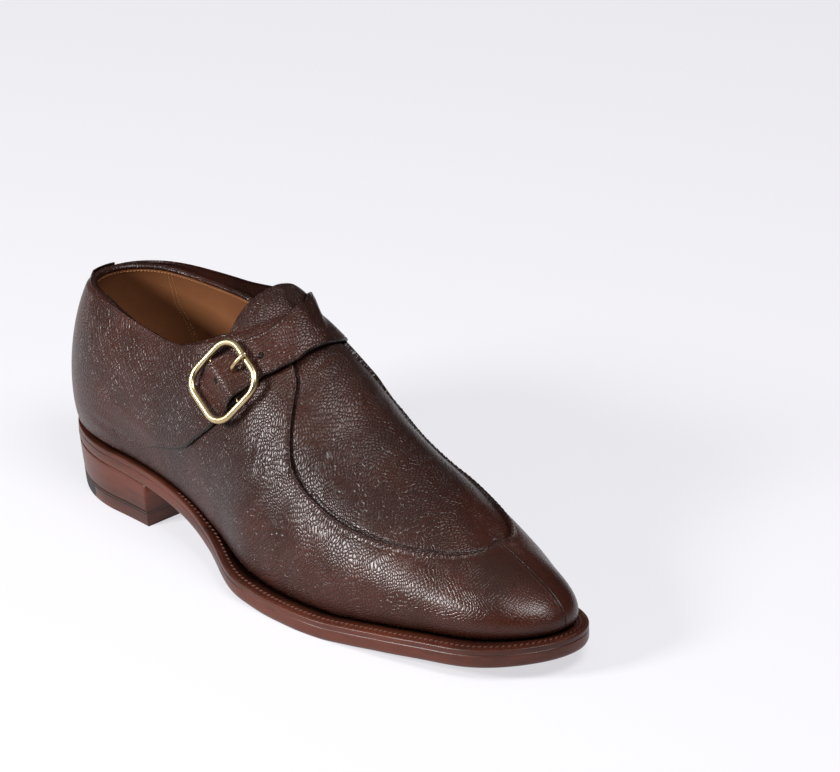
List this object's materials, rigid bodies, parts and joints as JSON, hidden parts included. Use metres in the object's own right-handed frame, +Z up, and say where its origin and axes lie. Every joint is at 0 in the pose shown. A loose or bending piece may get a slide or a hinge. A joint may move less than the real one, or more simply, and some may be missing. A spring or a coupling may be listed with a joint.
{
  "type": "monk strap shoe",
  "caption": "Right-foot welted leather monk strap shoe with an apron front, a split toe, a buckled strap over the instep and a stacked heel.",
  "frame": {"origin": "middle of the shoe's footprint, on the floor that it stands on", "axes": "+X from heel to toe, +Y towards the inner side of the foot, +Z up; the buckle is on the outer side, at -Y"},
  "size_m": [0.2984, 0.0956, 0.1139],
  "materials": {
    "upper_leather": "pebble grain, polished dark brown",
    "lining_leather": "smooth tan",
    "sole_leather": "burnished edge, reddish brown",
    "band_leather": "dark burnished",
    "heel_rubber": "matt black",
    "buckle_brass": "polished, slightly worn"
  },
  "bodies": {
    "root": {"upper": "upper_leather", "outer_quarter": "upper_leather", "inner_quarter_strap": "upper_leather", "tongue": "upper_leather", "heel_tab": "upper_leather", "insole": "lining_leather", "welt": "sole_leather", "outsole": "sole_leather", "heel_stack": "sole_leather", "heel_band": "band_leather", "top_piece_rubber": "heel_rubber", "top_piece_leather": "sole_leather", "buckle_frame": "buckle_brass", "prong": "buckle_brass"}
  },
  "joints": []
}
